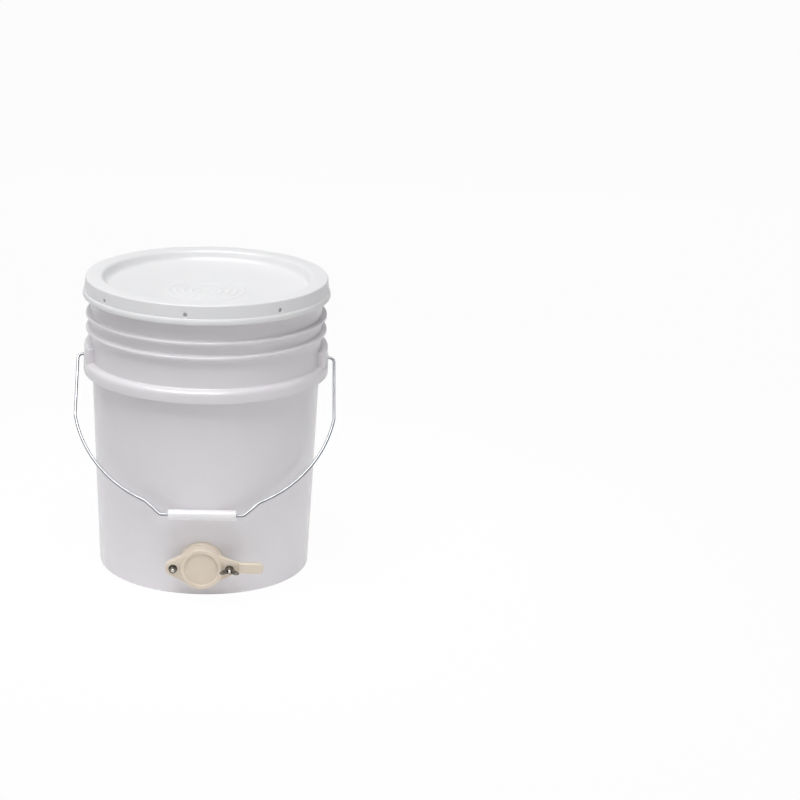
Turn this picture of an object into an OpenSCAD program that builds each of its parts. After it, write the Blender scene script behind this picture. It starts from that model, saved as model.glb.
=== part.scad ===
// Honey pail with a lift-off lid, a wire bail and a swinging outlet gate.
// The origin is the middle of the foot on the ground, +Z is up and the gate faces -Y.

/* [Pail] */
// Height of the pail from the ground to the top of its rim
pail_h = 375.3; // [340:0.1:420]
// Outside diameter of the straight neck above the collar
neck_d = 294; // [270:0.5:320]
// Step in from the neck to the tapered wall at the lower edge of the collar
waist_in = 1.6; // [1:0.1:3]
// Step in from the neck to where the tapered wall would meet the ground
foot_in = 11; // [7:0.5:15]
// Thickness of the moulded wall
wall_t = 2.3; // [1.8:0.1:3]
// Thickness of the bottom plate
floor_t = 2.8; // [2:0.1:4]
// Height of the bottom plate above the ground
floor_lift = 4; // [2:0.5:7]
// Radius of the outer edge round the foot
foot_round = 2.5; // [2:0.5:6]
// Width of the ring that stands on the ground
foot_w = 5; // [3:0.5:8]
// Radius inside, between the wall and the bottom plate
floor_round = 6; // [4:0.5:8]
// Overhang of the bead round the rim
bead_out = 3.8; // [2.5:0.1:5]
// Height of the bead round the rim
bead_h = 6.5; // [5:0.5:9]

/* [Collar and rings] */
// Distance from the top of the rim down to the lower edge of the collar
collar_drop = 117.9; // [105:0.1:130]
// Height of the collar
collar_h = 16; // [13:0.5:20]
// Overhang of the collar
collar_out = 9.5; // [8.5:0.1:12]
// Radius of the collar's upper edge
collar_round = 6.5; // [4:0.5:8]
// Thickness of the collar's skirt
skirt_t = 2.5; // [2:0.1:3.5]
// Number of gussets under the collar
gusset_count = 20; // [12:4:28]
// Thickness of one gusset
gusset_t = 1.8; // [1.2:0.1:2.5]
// Height of the gussets' lower edge above the collar's
gusset_lift = 3; // [1:0.5:6]
// Number of thin rings round the neck
ring_count = 2; // [1:1:2]
// Distance from the top of the rim down to the lowest ring's underside
ring_drop = 63.5; // [56:0.1:68]
// Distance from one ring to the next
ring_pitch = 18.7; // [14:0.1:20]
// Overhang of the rings
ring_out = 6.2; // [4:0.1:8]
// Thickness of a ring at its edge
ring_t = 4; // [3:0.5:5]
// Radius of the hollow above each ring
ring_fillet = 3.5; // [2:0.5:4]

/* [Bail ears] */
// Overhang of the ears
ear_out = 8.6; // [7.5:0.1:11]
// Angle that one ear covers
ear_angle = 29; // [24:1:36]
// Height of the ears above the collar
ear_rise = 19.5; // [14:0.5:24]
// Thickness of the ears' walls
ear_t = 3; // [2:0.1:3.5]
// Radius of the ears' upper edge
ear_round = 4; // [3.5:0.5:6]
// Extra thickness of the neck behind an ear
ear_backing = 0.8; // [0.5:0.1:1.2]
// Height of the bail's hinge axis above the collar
pin_rise = 0.6; // [0:0.1:6]

/* [Lid] */
// Thickness of the lid's land
land_t = 2.5; // [2:0.1:3.5]
// Height of the lid from its hem to its top
lid_h = 24; // [20:0.1:27]
// Thickness of the lid's skirt at its top
lid_skirt_t = 2; // [1.5:0.1:2.5]
// Widening of the skirt from its top to the hem
lid_flare = 2.1; // [1:0.1:3]
// Overhang of the hem past the rim's bead
hem_out = 6.2; // [5.6:0.1:8]
// Height of the hem
hem_h = 6.9; // [5:0.1:9]
// Radius of the lid's upper outer edge
land_round = 1.5; // [0.5:0.1:2]
// Width from the rim's bead in to the sunk panel's top edge
land_w = 18.8; // [15:0.1:26]
// Depth of the sunk panel
recess_depth = 13; // [9:0.5:14]
// Radius between the sunk panel and its wall
recess_round = 4; // [2:0.5:6]
// Draft of the sunk panel's wall
recess_draft = 1; // [0.5:0.1:2]
// Fall of the sunk panel from its edge to its moulded rings
panel_dish = 8; // [0:0.5:9]
// Thickness of the sunk panel
panel_t = 2.2; // [1.8:0.1:3]
// Depth of the leg that fits inside the rim
leg_h = 9; // [6:0.5:11]
// Thickness of that leg
leg_t = 2.2; // [1.6:0.1:3]
// Radius of the smallest moulded ring on the panel
panel_ring_r = 19; // [14:1:24]
// Distance between the moulded rings
panel_ring_pitch = 9.7; // [7:0.1:12]
// Number of moulded rings
panel_ring_count = 4; // [2:1:6]
// Width of a moulded ring
panel_ring_w = 3.4; // [2:0.1:5]
// Height of a moulded ring
panel_ring_h = 0.8; // [0.4:0.1:1.2]
// Number of round holes in the skirt
vent_count = 8; // [4:1:12]
// Diameter of those holes
vent_d = 5.4; // [4:0.1:6]
// Angle of the first hole from the middle of the front, towards -X
vent_turn = 8.4; // [0:0.1:30]
// Thickness of the soft ring in the lid
lid_gasket_t = 3; // [2:0.1:4]

/* [Bail] */
// Diameter of the wire
wire_d = 3.5; // [3:0.1:4]
// Height of the hanging grip above the outlet's axis
grip_rise = 66.8; // [58:0.1:76]
// Gap between an ear and the middle of the wire's leg
leg_gap = 8.1; // [7.5:0.1:12]
// Bend radius beside the ear
ear_bend_r = 6; // [5:0.5:7]
// Turn of the shoulder below each leg
shoulder_turn = 12; // [10:1:14]
// Bend radius of the shoulder
shoulder_r = 8; // [6:1:20]
// Turn of the long sweep
sweep_turn = 53; // [51:1:55]
// Turn back at the kick before the grip
kick_turn = 18; // [14:1:22]
// Bend radius of the kick
kick_r = 14; // [12:0.5:20]
// Straight run below the kick
kick_run = 22; // [16:0.5:28]
// Bend radius beside the grip
hand_bend_r = 5; // [4:0.5:7]
// Straight run between two bends that follow each other
seam_run = 1; // [1:0.5:3]
// Thinning of the wire in its bends
bend_thin = 0.02; // [0.01:0.01:0.05]
// Diameter of the upset end inside an ear
upset_d = 6.6; // [5.8:0.1:7.5]
// Thickness of the upset end
upset_t = 1.6; // [1:0.1:2]
// Outside diameter of the grip
grip_d = 13.2; // [11:0.1:16]
// Length of the grip
grip_l = 85; // [70:1:100]
// Straight wire that shows past each end of the grip
hand_past = 7.5; // [5:0.5:10]
// Radius of the grip's ends
grip_round = 1.5; // [0.5:0.1:2.5]

/* [Gate body] */
// Bore of the outlet
outlet_d = 38; // [30:0.5:44]
// Wall of the spigot
spigot_wall = 4.5; // [3.5:0.1:6]
// Overhang of the flange past the spigot
flange_w = 4.5; // [3.5:0.1:6]
// Thickness of the flange
flange_t = 4.4; // [3:0.1:6]
// Distance from the flange's back to the seat
body_depth = 15.9; // [15:0.1:20]
// Overhang of the body between flange and seat past the spigot
barrel_w = 3.2; // [3.1:0.1:3.9]
// Width of the seat and of the disc's edge round the bore
seat_w = 7.5; // [6.5:0.1:8.5]
// Distance from the edge of the seat to the bolts
bolt_out = 8.75; // [8.25:0.25:11]
// Radius of the lugs round the bolts
lug_r = 9.5; // [8.5:0.1:10]
// Thickness of the lugs
lug_t = 6; // [5:0.1:7]
// Angle round the seat at which the straps to the lugs begin
strap_angle = 48; // [40:1:56]
// Depth of the pockets that hold the bolt heads
pocket_depth = 2.5; // [1.5:0.1:3]
// Thickness of the outer gasket at the outlet's axis
outer_gasket_t = 2.5; // [2.2:0.1:4]
// Least thickness of the inner gasket
inner_gasket_t = 1.2; // [0.8:0.1:2]
// Wall of the ring nut inside, at its flats
ring_nut_wall = 5.5; // [4.5:0.1:7]
// Height of the ring nut's lower flat above the bottom plate
ring_nut_rise = 8.2; // [6.5:0.1:14]
// Thickness of the ring nut
ring_nut_t = 10; // [8:0.5:12]
// Length of the spigot past the ring nut
spigot_past = 3; // [1:0.5:5]

/* [Gate blade] */
// Thickness of the blade
blade_t = 4; // [3:0.1:5]
// Width of the raised rim on the disc
rim_w = 5.75; // [4.5:0.25:7]
// Height of the raised rim
rim_h = 2; // [1:0.1:2.4]
// Radius of the raised rim's edges
rim_round = 0.9; // [0.4:0.1:0.9]
// Distance from the clamp bolt to the start of the lever
lever_off = 11.25; // [9:0.25:14]
// Length of the lever bar
lever_l = 30.5; // [24:0.5:48]
// Height of the lever bar
lever_w = 13.4; // [11:0.1:15]
// Thickness of the lever bar
lever_t = 7; // [5.5:0.1:7.5]
// Height of the lever's middle above the outlet's axis
lever_lift = 2.7; // [1:0.1:4]
// Radius of the corners at the lever's end
lever_round = 4; // [2:0.5:5]
// Angle round the disc at which the neck's upper edge begins
neck_angle = 44; // [36:1:52]
// Angle round the disc at which the neck's lower edge begins
neck_low_angle = 25; // [18:1:30]
// Angle the slot runs on past the clamp bolt, so that the blade can swing away from it
slot_sweep = 16; // [14:1:20]

/* [Fasteners] */
// Diameter of the bolts
bolt_d = 5; // [4.6:0.1:5.4]
// Width across the flats of the bolt heads and the pivot nut
hex_w = 8; // [7.6:0.1:9]
// Height of the bolt heads
head_h = 3.5; // [2.5:0.1:4]
// Diameter of the washers
washer_d = 11; // [10:0.1:12]
// Thickness of the washers
washer_t = 1; // [0.8:0.1:1.4]
// Diameter of the split ring under the pivot nut
split_d = 9; // [8.4:0.1:9.6]
// Thickness of the split ring
split_t = 1.2; // [0.9:0.1:1.5]
// Gap of the split ring
split_gap = 0.8; // [0.5:0.1:1.2]
// Height of the pivot nut
nut_h = 4; // [3:0.1:5]
// Length of bolt that shows past the nuts
bolt_past = 1.5; // [0.5:0.1:2.5]
// Diameter of the wing nut's hub at its foot
hub_d = 9.6; // [8.6:0.1:10.4]
// Diameter of the wing nut's hub at its top
hub_top_d = 7.4; // [7:0.1:8.4]
// Height of the wing nut's hub
hub_h = 6; // [5:0.1:7]
// Span of the wings
wing_span = 24.4; // [22:0.1:27]
// Height of the wings above the hub's foot
wing_h = 15; // [13:0.1:16]
// Thickness of a wing
wing_t = 2.8; // [2:0.1:3.2]
// Radius of a wing's tip
wing_tip_r = 3; // [2.4:0.1:3.4]

/* [Clearances] */
// Gap between the rim's bead and the lid's skirt
lid_fit = 0.7; // [0.4:0.1:1]
// Gap between the neck and the lid's leg
leg_fit = 0.6; // [0.4:0.1:1]
// Radial play of the bail in the ears and in its grip
wire_fit = 0.1; // [0.05:0.01:0.1]
// Gap between the grip and the pail's wall
grip_gap = 0.3; // [0.3:0.1:1]
// Radial play of the spigot in the wall, the gaskets and the ring nut
spigot_fit = 0.25; // [0.1:0.05:0.4]
// Gap between the gaskets and the round wall
saddle_gap = 0.05; // [0.02:0.01:0.2]
// Radial play of what turns on a bolt
turn_fit = 0.05; // [0.03:0.01:0.1]
// Radial play of washers and fixed holes round a bolt
bolt_fit = 0.15; // [0.1:0.05:0.25]
// Play of the bolt heads in their pockets
pocket_fit = 0.1; // [0.05:0.05:0.2]
// Side play of the clamp bolt in the blade's slot
slot_fit = 0.35; // [0.3:0.05:0.5]
// Widening of that slot at its closed end, where the bolt rests
slot_ease = 0.1; // [0.05:0.05:0.2]
// Gap between an ear's inside and the upset end of the wire
upset_gap = 0.5; // [0.4:0.1:0.7]

/* [Hidden] */
$fn = 96;
saddle_fn = 240;
// Chords in a quarter turn of a moulded edge
edge_steps = 6;
// Length that cuts run past a face and that fused pieces sink into each other
overrun = 1;

// Pail
neck_r = neck_d / 2;
waist_r = neck_r - waist_in;
foot_r = neck_r - foot_in;
bead_r = neck_r + bead_out;
collar_r = neck_r + collar_out;
ring_r = neck_r + ring_out;
ear_r = neck_r + ear_out;
rim_in_r = neck_r - wall_t;
collar_z = pail_h - collar_drop;
ring_z = pail_h - ring_drop;
collar_top = collar_z + collar_h;
ear_top = collar_top + ear_rise;
ear_sink_share = 0.6;
ear_z = collar_top - ear_sink_share * collar_round;
pin_z = collar_top + pin_rise;
floor_top = floor_lift + floor_t;
taper = atan((waist_r - foot_r) / collar_z);
neck_foot_share = 0.5;
neck_foot_z = collar_z + neck_foot_share * collar_h;
ring_round_share = 0.9;
ring_round = ring_round_share * min(ring_t, ring_out - ring_fillet);
bead_round_share = 0.2;
bead_round = bead_round_share * bead_h;

// Lid
land_z = pail_h + lid_gasket_t;
lid_top = land_z + land_t;
hem_z = lid_top - lid_h;
hem_top = hem_z + hem_h;
skirt_in_r = bead_r + lid_fit;
skirt_out_r = skirt_in_r + lid_skirt_t;
hem_r = bead_r + hem_out;
hem_in_r = skirt_in_r + lid_flare;
hem_step_share = 0.1;
hem_step = hem_step_share * hem_h;
recess_r = bead_r - land_w;
panel_z = lid_top - recess_depth;
panel_low = panel_z - panel_dish;
panel_flat_r = panel_ring_r + panel_ring_count * panel_ring_pitch;
leg_r = rim_in_r - leg_fit;
vent_share = 0.36;
vent_z = hem_top + vent_share * (land_z - hem_top);

// Outlet
outlet_r = outlet_d / 2;
spigot_r = outlet_r + spigot_wall;
flange_r = spigot_r + flange_w;
barrel_r = spigot_r + barrel_w;
seat_r = outlet_r + seat_w;
ring_nut_r = spigot_r + ring_nut_wall;
gate_z = floor_top + ring_nut_rise + ring_nut_r;

// Bail
wire_r = wire_d / 2;
grip_r = grip_d / 2;
leg_x = ear_r + leg_gap;
pin_in = ear_r - ear_t - upset_gap - upset_t;
hand_turn = 90 - shoulder_turn - sweep_turn + kick_turn;
hand_run = grip_l / 2 + hand_past;
plain_bends = [[90, ear_bend_r], [shoulder_turn, shoulder_r], [sweep_turn, 0],
    [-kick_turn, kick_r], [hand_turn, hand_bend_r]];
bail_headings = [for (i = [0:len(plain_bends)]) turn_before(i)];
late_runs = [seam_run, seam_run, kick_run];
late_shifts = [for (i = [0:2]) late_runs[i] * [cos(bail_headings[i + 2]), sin(bail_headings[i + 2])]];
plain_shift = total(bend_shifts(plain_bends)) + total(late_shifts);
pin_run = leg_x - ear_bend_r - pin_in;
sweep_share = bend_shift(bail_headings[2], sweep_turn, 1).x;
sweep_r = (hand_run - pin_in - pin_run - plain_shift.x) / sweep_share;
bail_bends = [[90, ear_bend_r], [shoulder_turn, shoulder_r], [sweep_turn, sweep_r],
    [-kick_turn, kick_r], [hand_turn, hand_bend_r]];
grip_z = gate_z + grip_rise;
grip_out = wall_r(grip_z) + (grip_r + grip_gap) / cos(taper);
bail_reach = norm([grip_out, pin_z - grip_z]);
bail_tilt = atan(grip_out / (pin_z - grip_z));
leg_run = bail_reach - total(bend_shifts(bail_bends)).y - total(late_shifts).y;
bail_runs = concat([pin_run, leg_run], late_runs);
bend_lap_share = 0.125;
bend_lap = bend_lap_share * wire_r;

// Gate, measured outwards from the pail's axis
bolt_x = seat_r + bolt_out;
bolt_span = 2 * bolt_x;
lever_start = bolt_x + lever_off;
lever_reach = lever_start + lever_l;
bolt_r = bolt_d / 2;
hex_r = hex_w / 2 / cos(30);
flange_out = wall_r(gate_z) + outer_gasket_t;
seat_out = flange_out + body_depth;
blade_out = seat_out + blade_t;
clamp_out = blade_out + washer_t;
lug_in = seat_out - lug_t;
head_out = lug_in + pocket_depth;
inner_low_r = wall_r(gate_z - ring_nut_r) - wall_t;
ring_nut_out = sqrt(inner_low_r ^ 2 - ring_nut_r ^ 2) - inner_gasket_t;
ring_nut_in = ring_nut_out - ring_nut_t;
spigot_in = ring_nut_in - spigot_past;
pivot_stack = washer_t + split_t + nut_h + bolt_past;
clamp_stack = washer_t + hub_h + bolt_past;
strap_inset_share = 0.9;
slot_r = bolt_r + slot_fit;
chamfer_share = 0.12;

pail_white = [0.93, 0.93, 0.94];
lid_white = [0.96, 0.96, 0.96];
grip_white = [0.98, 0.98, 0.98];
gate_cream = [0.89, 0.86, 0.78];
seal_pale = [0.83, 0.8, 0.72];
zinc = [0.72, 0.73, 0.75];
steel = [0.6, 0.6, 0.6];

// Outside radius of the tapered wall at a height
function wall_r(z) = foot_r + (waist_r - foot_r) * z / collar_z;

// Points on an arc, the way round given by its end angles
function arc(middle, r, from, to) =
    [for (i = [0:edge_steps]) let (a = from + (to - from) * i / edge_steps) middle + r * [cos(a), sin(a)]];

// Middle of an edge radius that touches the tapered wall, at a height, from inside
function taper_touch(wall_foot_r, z, r) = [wall_foot_r + (z * sin(taper) - r) / cos(taper), z];

// Sum of a list of points
function total(points, i = 0) = i < len(points) - 1 ? points[i] + total(points, i + 1) : points[i];

// Direction of the bail's wire before one of its bends
function turn_before(n) = n == 0 ? 0 : turn_before(n - 1) + plain_bends[n - 1][0];

// Travel along one bend
function bend_shift(heading, turn, r) =
    r * sign(turn) * [sin(heading + turn) - sin(heading), cos(heading) - cos(heading + turn)];

// Travel along each bend of the bail's wire
function bend_shifts(bends) = [for (i = [0:len(bends) - 1])
    bend_shift(bail_headings[i], bends[i][0], bends[i][1])];

// Outline of one thin ring, from the neck below it to the neck above it
function ring_points(z) = concat(
    [[neck_r, z], [ring_r, z]],
    arc([ring_r - ring_round, z + ring_t - ring_round], ring_round, 0, 90),
    arc([neck_r + ring_fillet, z + ring_t + ring_fillet], ring_fillet, 270, 180));

// Outline of one moulded ring on the lid's panel, from the inside outwards
function panel_ring_points(r) = [for (i = [0:edge_steps]) let (a = 180 * i / edge_steps)
    [r - panel_ring_w / 2 * cos(a), panel_low + panel_ring_h * sin(a)]];

// Section through the pail from the axis out, up the outside and down the inside
function pail_section() = let (
    foot_mid = taper_touch(foot_r, foot_round, foot_round),
    floor_mid = taper_touch(foot_r - wall_t, floor_top + floor_round, floor_round),
    collar_mid = [collar_r - collar_round, collar_top - collar_round],
    bead_mid = [bead_r - bead_round, pail_h - bead_round])
    concat(
        [[0, floor_lift], [foot_mid.x - foot_w, floor_lift], [foot_mid.x - foot_w, 0]],
        arc(foot_mid, foot_round, -90, -taper),
        [[waist_r, collar_z], [neck_r, neck_foot_z], [neck_r, collar_top - skirt_t]],
        arc(collar_mid, collar_round - skirt_t, 90, 0),
        [[collar_r - skirt_t, collar_z], [collar_r, collar_z]],
        arc(collar_mid, collar_round, 0, 90),
        [[neck_r, collar_top]],
        [for (i = [0:ring_count - 1], p = ring_points(ring_z + i * ring_pitch)) p],
        [[neck_r, pail_h - bead_h - bead_r + neck_r], [bead_r, pail_h - bead_h]],
        arc(bead_mid, bead_round, 0, 90),
        [[rim_in_r, pail_h], [rim_in_r, neck_foot_z], [waist_r - wall_t, collar_z]],
        arc(floor_mid, floor_round, -taper, -90),
        [[0, floor_top]]);

// Section through the lid from its middle out over the top and back below
function lid_section() = concat(
    [[0, panel_low]],
    [for (i = [0:panel_ring_count - 1], p = panel_ring_points(panel_ring_r + i * panel_ring_pitch)) p],
    [[panel_flat_r, panel_low]],
    arc([recess_r - recess_draft - recess_round, panel_z + recess_round], recess_round, -90, 0),
    arc([recess_r + land_round, lid_top - land_round], land_round, 180, 90),
    arc([skirt_out_r - land_round, lid_top - land_round], land_round, 90, 0),
    [[skirt_out_r + lid_flare, hem_top + hem_step], [hem_r, hem_top], [hem_r, hem_z + hem_step],
        [hem_r - hem_step, hem_z], [hem_in_r, hem_z], [hem_in_r, hem_top], [skirt_in_r, land_z],
        [leg_r, land_z], [leg_r, land_z - leg_h], [leg_r - leg_t, land_z - leg_h], [leg_r - leg_t, land_z],
        [recess_r + panel_t, land_z], [recess_r - recess_draft + panel_t, panel_z - panel_t + recess_round],
        [recess_r - recess_draft + panel_t - recess_round, panel_z - panel_t],
        [panel_flat_r, panel_low - panel_t], [0, panel_low - panel_t]]);

// A block swept round the pail's axis at an ear, between two radii and two heights, its upper edge rounded
module ear_block(side, angle, r_in, r_out, z_low, z_top, edge_r) {
    rotate([0, 0, side - angle / 2])
        rotate_extrude(angle = angle)
            polygon(concat([[r_in, z_low], [r_out, z_low]],
                arc([r_out - edge_r, z_top - edge_r], edge_r, 0, 90), [[r_in, z_top]]));
}

// Places its children at both ears
module both_ears() {
    for (side = [0, 180])
        rotate([0, 0, side])
            children();
}

module gussets() {
    rib_in = waist_r - wall_t / 2;
    rib_out = collar_r - skirt_t / 2;
    rib_z = collar_z + gusset_lift;
    collar_mid = [collar_r - collar_round, collar_top - collar_round];
    for (i = [0:gusset_count - 1])
        rotate([90, 0, 360 * (i + 1 / 2) / gusset_count])
            translate([0, 0, -gusset_t / 2])
                linear_extrude(gusset_t)
                    polygon(concat([[rib_in, rib_z], [rib_out, rib_z]],
                        arc(collar_mid, collar_round - skirt_t / 2, 0, 90),
                        [[rib_in, collar_top - skirt_t / 2]]));
}

module bucket_body() {
    ear_side_angle = 2 * asin(ear_t / ear_r);
    color(pail_white)
        difference() {
            union() {
                rotate_extrude()
                    polygon(pail_section());
                gussets();
                for (side = [0, 180])
                    ear_block(side, ear_angle, neck_r - wall_t / 2, ear_r, ear_z, ear_top, ear_round);
            }
            for (side = [0, 180])
                ear_block(side, ear_angle - ear_side_angle, neck_r + ear_backing, ear_r - ear_t,
                    ear_z - overrun, ear_top - ear_t, ear_round - ear_t);
            both_ears()
                translate([ear_r - ear_t - overrun, 0, pin_z])
                    rotate([0, 90, 0])
                        cylinder(r = wire_r + wire_fit, h = ear_t + 2 * overrun);
            outward()
                cylinder(r = spigot_r + spigot_fit, h = flange_out);
        }
}

module lid() {
    color(lid_white)
        difference() {
            rotate_extrude()
                polygon(lid_section());
            for (i = [0:vent_count - 1])
                rotate([0, 0, 270 - vent_turn + 360 * i / vent_count])
                    translate([bead_r, 0, vent_z])
                        rotate([0, 90, 0])
                            cylinder(d = vent_d, h = hem_r - bead_r + overrun);
        }
}

module lid_gasket() {
    color(seal_pale)
        rotate_extrude()
            translate([rim_in_r, pail_h])
                square([bead_r - rim_in_r, lid_gasket_t]);
}

// One bend of the wire from heading +X towards +Y, lapped into the straight runs before and after it
module wire_bend(turn, r) {
    lap = bend_lap / r * 180 / PI;
    translate([0, r, 0])
        rotate([0, 0, -90 - lap])
            rotate_extrude(angle = turn + 2 * lap)
                translate([r, 0])
                    circle(r = wire_r - bend_thin);
}

// The wire from one of its straight runs to its last bend, heading +X at first
module wire_from(i) {
    turn = bail_bends[i][0];
    r = bail_bends[i][1];
    shift = bend_shift(0, turn, r);
    rotate([0, 90, 0])
        cylinder(r = wire_r, h = bail_runs[i]);
    translate([bail_runs[i], 0, 0]) {
        if (turn > 0)
            wire_bend(turn, r);
        else
            mirror([0, 1, 0])
                wire_bend(-turn, r);
        if (i < len(bail_bends) - 1)
            translate([shift.x, shift.y, 0])
                rotate([0, 0, turn])
                    wire_from(i + 1);
    }
}

// Places its children in the bail's plane: X along the hinge axis, Y from that axis towards the grip
module in_bail() {
    translate([0, 0, pin_z])
        rotate([-90 - bail_tilt, 0, 0])
            children();
}

module bail_wire() {
    color(zinc)
        in_bail() {
            for (half = [0, 1])
                mirror([half, 0, 0])
                    translate([pin_in, 0, 0]) {
                        wire_from(0);
                        rotate([0, 90, 0])
                            cylinder(d = upset_d, h = upset_t);
                    }
            translate([-hand_run, bail_reach, 0])
                rotate([0, 90, 0])
                    cylinder(r = wire_r, h = 2 * hand_run);
        }
}

module bail_grip() {
    bore_r = wire_r + wire_fit;
    color(grip_white)
        in_bail()
            translate([0, bail_reach, 0])
                rotate([0, 90, 0])
                    rotate_extrude()
                        polygon(concat([[bore_r, -grip_l / 2]],
                            arc([grip_r - grip_round, grip_round - grip_l / 2], grip_round, -90, 0),
                            arc([grip_r - grip_round, grip_l / 2 - grip_round], grip_round, 0, 90),
                            [[bore_r, grip_l / 2]]));
}

// Places its children at the outlet: X along the pail's X, Y up, Z outwards from the pail's axis
module outward() {
    translate([0, 0, gate_z])
        rotate([90, 0, 0])
            children();
}

// Solid cone of the pail's wall, grown or shrunk by a gap, up to the collar
module wall_cone(gap) {
    cylinder(h = collar_z, r1 = foot_r + gap, r2 = waist_r + gap, $fn = saddle_fn);
}

// Outline of the strap from the round seat to a lug, on the +X or the -X side
module lug_outline(side) {
    root = strap_inset_share * seat_r * [cos(strap_angle), sin(strap_angle)];
    translate([side * bolt_x, 0])
        circle(r = lug_r);
    scale([side, 1])
        polygon([root, [bolt_x, lug_r], [bolt_x, -lug_r], [root.x, -root.y]]);
}

module gate_body() {
    color(gate_cream)
        outward()
            difference() {
                union() {
                    translate([0, 0, flange_out])
                        cylinder(r = flange_r, h = flange_t);
                    translate([0, 0, spigot_in])
                        cylinder(r = spigot_r, h = seat_out - lug_t / 2 - spigot_in);
                    translate([0, 0, flange_out])
                        cylinder(r = barrel_r, h = body_depth - lug_t / 2);
                    translate([0, 0, lug_in])
                        linear_extrude(lug_t)
                            union() {
                                circle(r = seat_r);
                                lug_outline(1);
                                lug_outline(-1);
                            }
                }
                translate([0, 0, spigot_in - overrun])
                    cylinder(r = outlet_r, h = seat_out - spigot_in + 2 * overrun);
                for (side = [-1, 1])
                    translate([side * bolt_x, 0, lug_in]) {
                        translate([0, 0, -overrun])
                            cylinder(r = hex_r + pocket_fit, h = pocket_depth + overrun, $fn = 6);
                        cylinder(r = bolt_r + bolt_fit, h = lug_t + overrun);
                    }
            }
}

module gate_outer_gasket() {
    color(seal_pale)
        difference() {
            outward()
                difference() {
                    translate([0, 0, inner_low_r - flange_r])
                        cylinder(r = flange_r, h = flange_out - inner_low_r + flange_r);
                    cylinder(r = spigot_r + spigot_fit, h = flange_out + overrun);
                }
            wall_cone(saddle_gap);
        }
}

module gate_inner_gasket() {
    color(seal_pale)
        intersection() {
            outward()
                difference() {
                    translate([0, 0, ring_nut_out])
                        cylinder(r = ring_nut_r, h = flange_out - ring_nut_out);
                    cylinder(r = spigot_r + spigot_fit, h = flange_out + overrun);
                }
            wall_cone(-wall_t - saddle_gap);
        }
}

// A hexagon across its flats with both its ends chamfered round
module hex_block(w, h) {
    corner = w / 2 / cos(30);
    bevel = chamfer_share * w;
    intersection() {
        cylinder(r = corner, h = h, $fn = 6);
        rotate_extrude()
            polygon([[0, 0], [w / 2, 0], [w / 2 + bevel, bevel / 2], [w / 2 + bevel, h - bevel / 2],
                [w / 2, h], [0, h]]);
    }
}

module gate_lock_nut() {
    color(gate_cream)
        outward()
            translate([0, 0, ring_nut_in])
                difference() {
                    cylinder(r = ring_nut_r / cos(30), h = ring_nut_t, $fn = 6);
                    translate([0, 0, -overrun])
                        cylinder(r = spigot_r + spigot_fit, h = ring_nut_t + 2 * overrun);
                }
}

// Outline of the lever bar with its end's corners rounded
module lever_outline() {
    low = lever_lift - lever_w / 2;
    high = lever_lift + lever_w / 2;
    polygon(concat([[lever_start, high], [lever_start, low]],
        arc([lever_reach - lever_round, low + lever_round], lever_round, -90, 0),
        arc([lever_reach - lever_round, high - lever_round], lever_round, 0, 90)));
}

// Outline of the whole blade: disc, pivot lug, neck and lever
module blade_outline() {
    inset = strap_inset_share * seat_r;
    circle(r = seat_r);
    lug_outline(-1);
    polygon([inset * [cos(neck_angle), sin(neck_angle)], [lever_start, lever_lift + lever_w / 2],
        [lever_start + overrun, lever_lift], [lever_start, lever_lift - lever_w / 2],
        inset * [cos(neck_low_angle), -sin(neck_low_angle)]]);
    lever_outline();
}

module gate_blade() {
    rim_in = seat_r - rim_w;
    color(gate_cream)
        outward()
            translate([0, 0, seat_out])
                difference() {
                    union() {
                        linear_extrude(blade_t)
                            blade_outline();
                        linear_extrude(lever_t)
                            lever_outline();
                        rotate_extrude()
                            polygon(concat([[seat_r, blade_t / 2]],
                                arc([seat_r - rim_round, blade_t + rim_h - rim_round], rim_round, 0, 90),
                                arc([rim_in + rim_round, blade_t + rim_h - rim_round], rim_round, 90, 180),
                                [[rim_in, blade_t / 2]]));
                    }
                    translate([-bolt_x, 0, -overrun])
                        cylinder(r = bolt_r + turn_fit, h = blade_t + 2 * overrun);
                    translate([bolt_x, 0, -overrun])
                        cylinder(r = slot_r + slot_ease, h = blade_t + 2 * overrun);
                    translate([-bolt_x, 0, -overrun])
                        rotate([0, 0, -slot_sweep])
                            rotate_extrude(angle = slot_sweep)
                                translate([bolt_span - slot_r, 0])
                                    square([2 * slot_r, blade_t + 2 * overrun]);
                }
}

// Hex-head bolt at one lug, with its head behind the lug and its end a stack of hardware past the blade
module lug_bolt(side, stack) {
    outward()
        translate([side * bolt_x, 0, head_out]) {
            translate([0, 0, -head_h])
                cylinder(r = hex_r, h = head_h, $fn = 6);
            cylinder(r = bolt_r, h = blade_out + stack - head_out);
        }
}

// Flat ring round a bolt, standing out from a distance along it
module bolt_ring(side, out, d, t) {
    outward()
        translate([side * bolt_x, 0, out])
            difference() {
                cylinder(d = d, h = t);
                translate([0, 0, -overrun])
                    cylinder(r = bolt_r + bolt_fit, h = t + 2 * overrun);
            }
}

module pivot_bolt() {
    color(steel)
        lug_bolt(-1, pivot_stack);
}

module pivot_washer() {
    color(steel)
        bolt_ring(-1, blade_out, washer_d, washer_t);
}

module pivot_spring_washer() {
    color(steel)
        difference() {
            bolt_ring(-1, clamp_out, split_d, split_t);
            outward()
                translate([-bolt_x, -split_gap / 2, clamp_out - overrun])
                    cube([split_d, split_gap, split_t + 2 * overrun]);
        }
}

module pivot_nut() {
    color(steel)
        outward()
            translate([-bolt_x, 0, clamp_out + split_t])
                difference() {
                    hex_block(hex_w, nut_h);
                    translate([0, 0, -overrun])
                        cylinder(r = bolt_r + turn_fit, h = nut_h + 2 * overrun);
                }
}

module clamp_bolt() {
    color(steel)
        lug_bolt(1, clamp_stack);
}

module clamp_washer() {
    color(steel)
        bolt_ring(1, blade_out, washer_d, washer_t);
}

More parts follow.
